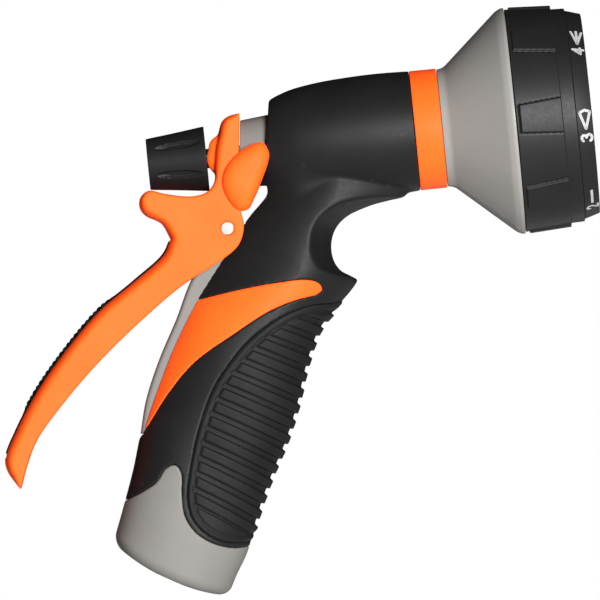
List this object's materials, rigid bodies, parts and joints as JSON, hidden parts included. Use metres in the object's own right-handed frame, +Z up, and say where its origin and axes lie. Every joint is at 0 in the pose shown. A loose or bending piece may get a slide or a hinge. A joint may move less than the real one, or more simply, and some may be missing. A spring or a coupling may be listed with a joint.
{
  "type": "hose spray nozzle",
  "caption": "Pistol-grip garden hose nozzle with a rear squeeze lever, a flow knob behind the barrel and a turning dial of spray patterns on a flared head.",
  "frame": {"origin": "centre of the hose inlet, on the flat lower end of the handle", "axes": "+X the way the water leaves, +Z up from the handle to the head, and the plane y = 0 divides the object into two like halves"},
  "size_m": [0.1903, 0.0698, 0.1717],
  "materials": {
    "black_shell": "fine satin",
    "grip_rubber": "matte, moulded ribs",
    "grey_plastic": "gloss",
    "orange_plastic": "semi-gloss",
    "seal_rubber": "smooth",
    "brass": "machined",
    "steel": "bright"
  },
  "bodies": {
    "grip": {"shell_left": "black_shell", "shell_right": "black_shell", "core_body": "grey_plastic", "inlet_end": "grey_plastic", "accent_left": "orange_plastic", "accent_right": "orange_plastic", "grip_pad": "grip_rubber", "inlet_nut": "brass", "inlet_washer": "seal_rubber", "filter_screen": "steel", "pivot_pin": "steel", "stem_gland": "grey_plastic", "gland_seal": "seal_rubber", "valve_seat": "brass", "return_spring": "steel", "collar_ring": "orange_plastic", "head_bell": "grey_plastic", "port_disc": "grey_plastic", "port_seal": "seal_rubber", "detent_spring": "steel", "detent_ball": "steel", "centre_screw": "steel"},
    "lever_arm": {"lever": "orange_plastic", "lever_pad": "grip_rubber", "guard_left": "orange_plastic", "guard_right": "orange_plastic"},
    "stem": {"valve_stem": "steel", "valve_head": "brass", "valve_washer": "seal_rubber", "stem_clip": "steel"},
    "knob": {"flow_knob": "black_shell", "knob_insert": "brass"},
    "dial": {"dial_ring": "black_shell", "rim_ring": "black_shell", "spray_face": "black_shell", "selector_plate": "grey_plastic", "jet_insert": "orange_plastic", "cone_insert": "grey_plastic", "mist_insert": "grey_plastic", "face_cap": "orange_plastic"}
  },
  "joints": [
    {"name": "lever_hinge", "type": "hinge", "parent": "grip", "child": "lever_arm", "pos_m": [0.0285, 0, 0.1058], "axis": [0, -1, 0], "range_deg": [0, 16], "stiffness_Nm_per_rad": 1.2, "springref_deg": -20.05},
    {"name": "stem_slide", "type": "slide", "parent": "grip", "child": "stem", "axis": [-1, 0, 0], "range_m": [0, 0.0062], "deforming": ["return_spring"]},
    {"name": "knob_turn", "type": "hinge", "parent": "stem", "child": "knob", "pos_m": [0.0155, 0, 0.1278], "axis": [-1, 0, 0], "range_deg": [-540, 540]},
    {"name": "dial_turn", "type": "hinge", "parent": "grip", "child": "dial", "pos_m": [0.13, 0, 0.13], "axis": [1, 0, 0], "continuous": true}
  ],
  "couplings": [
    {"joint": "stem_slide", "follows": "lever_hinge", "m_per_rad": 0.0215}
  ]
}
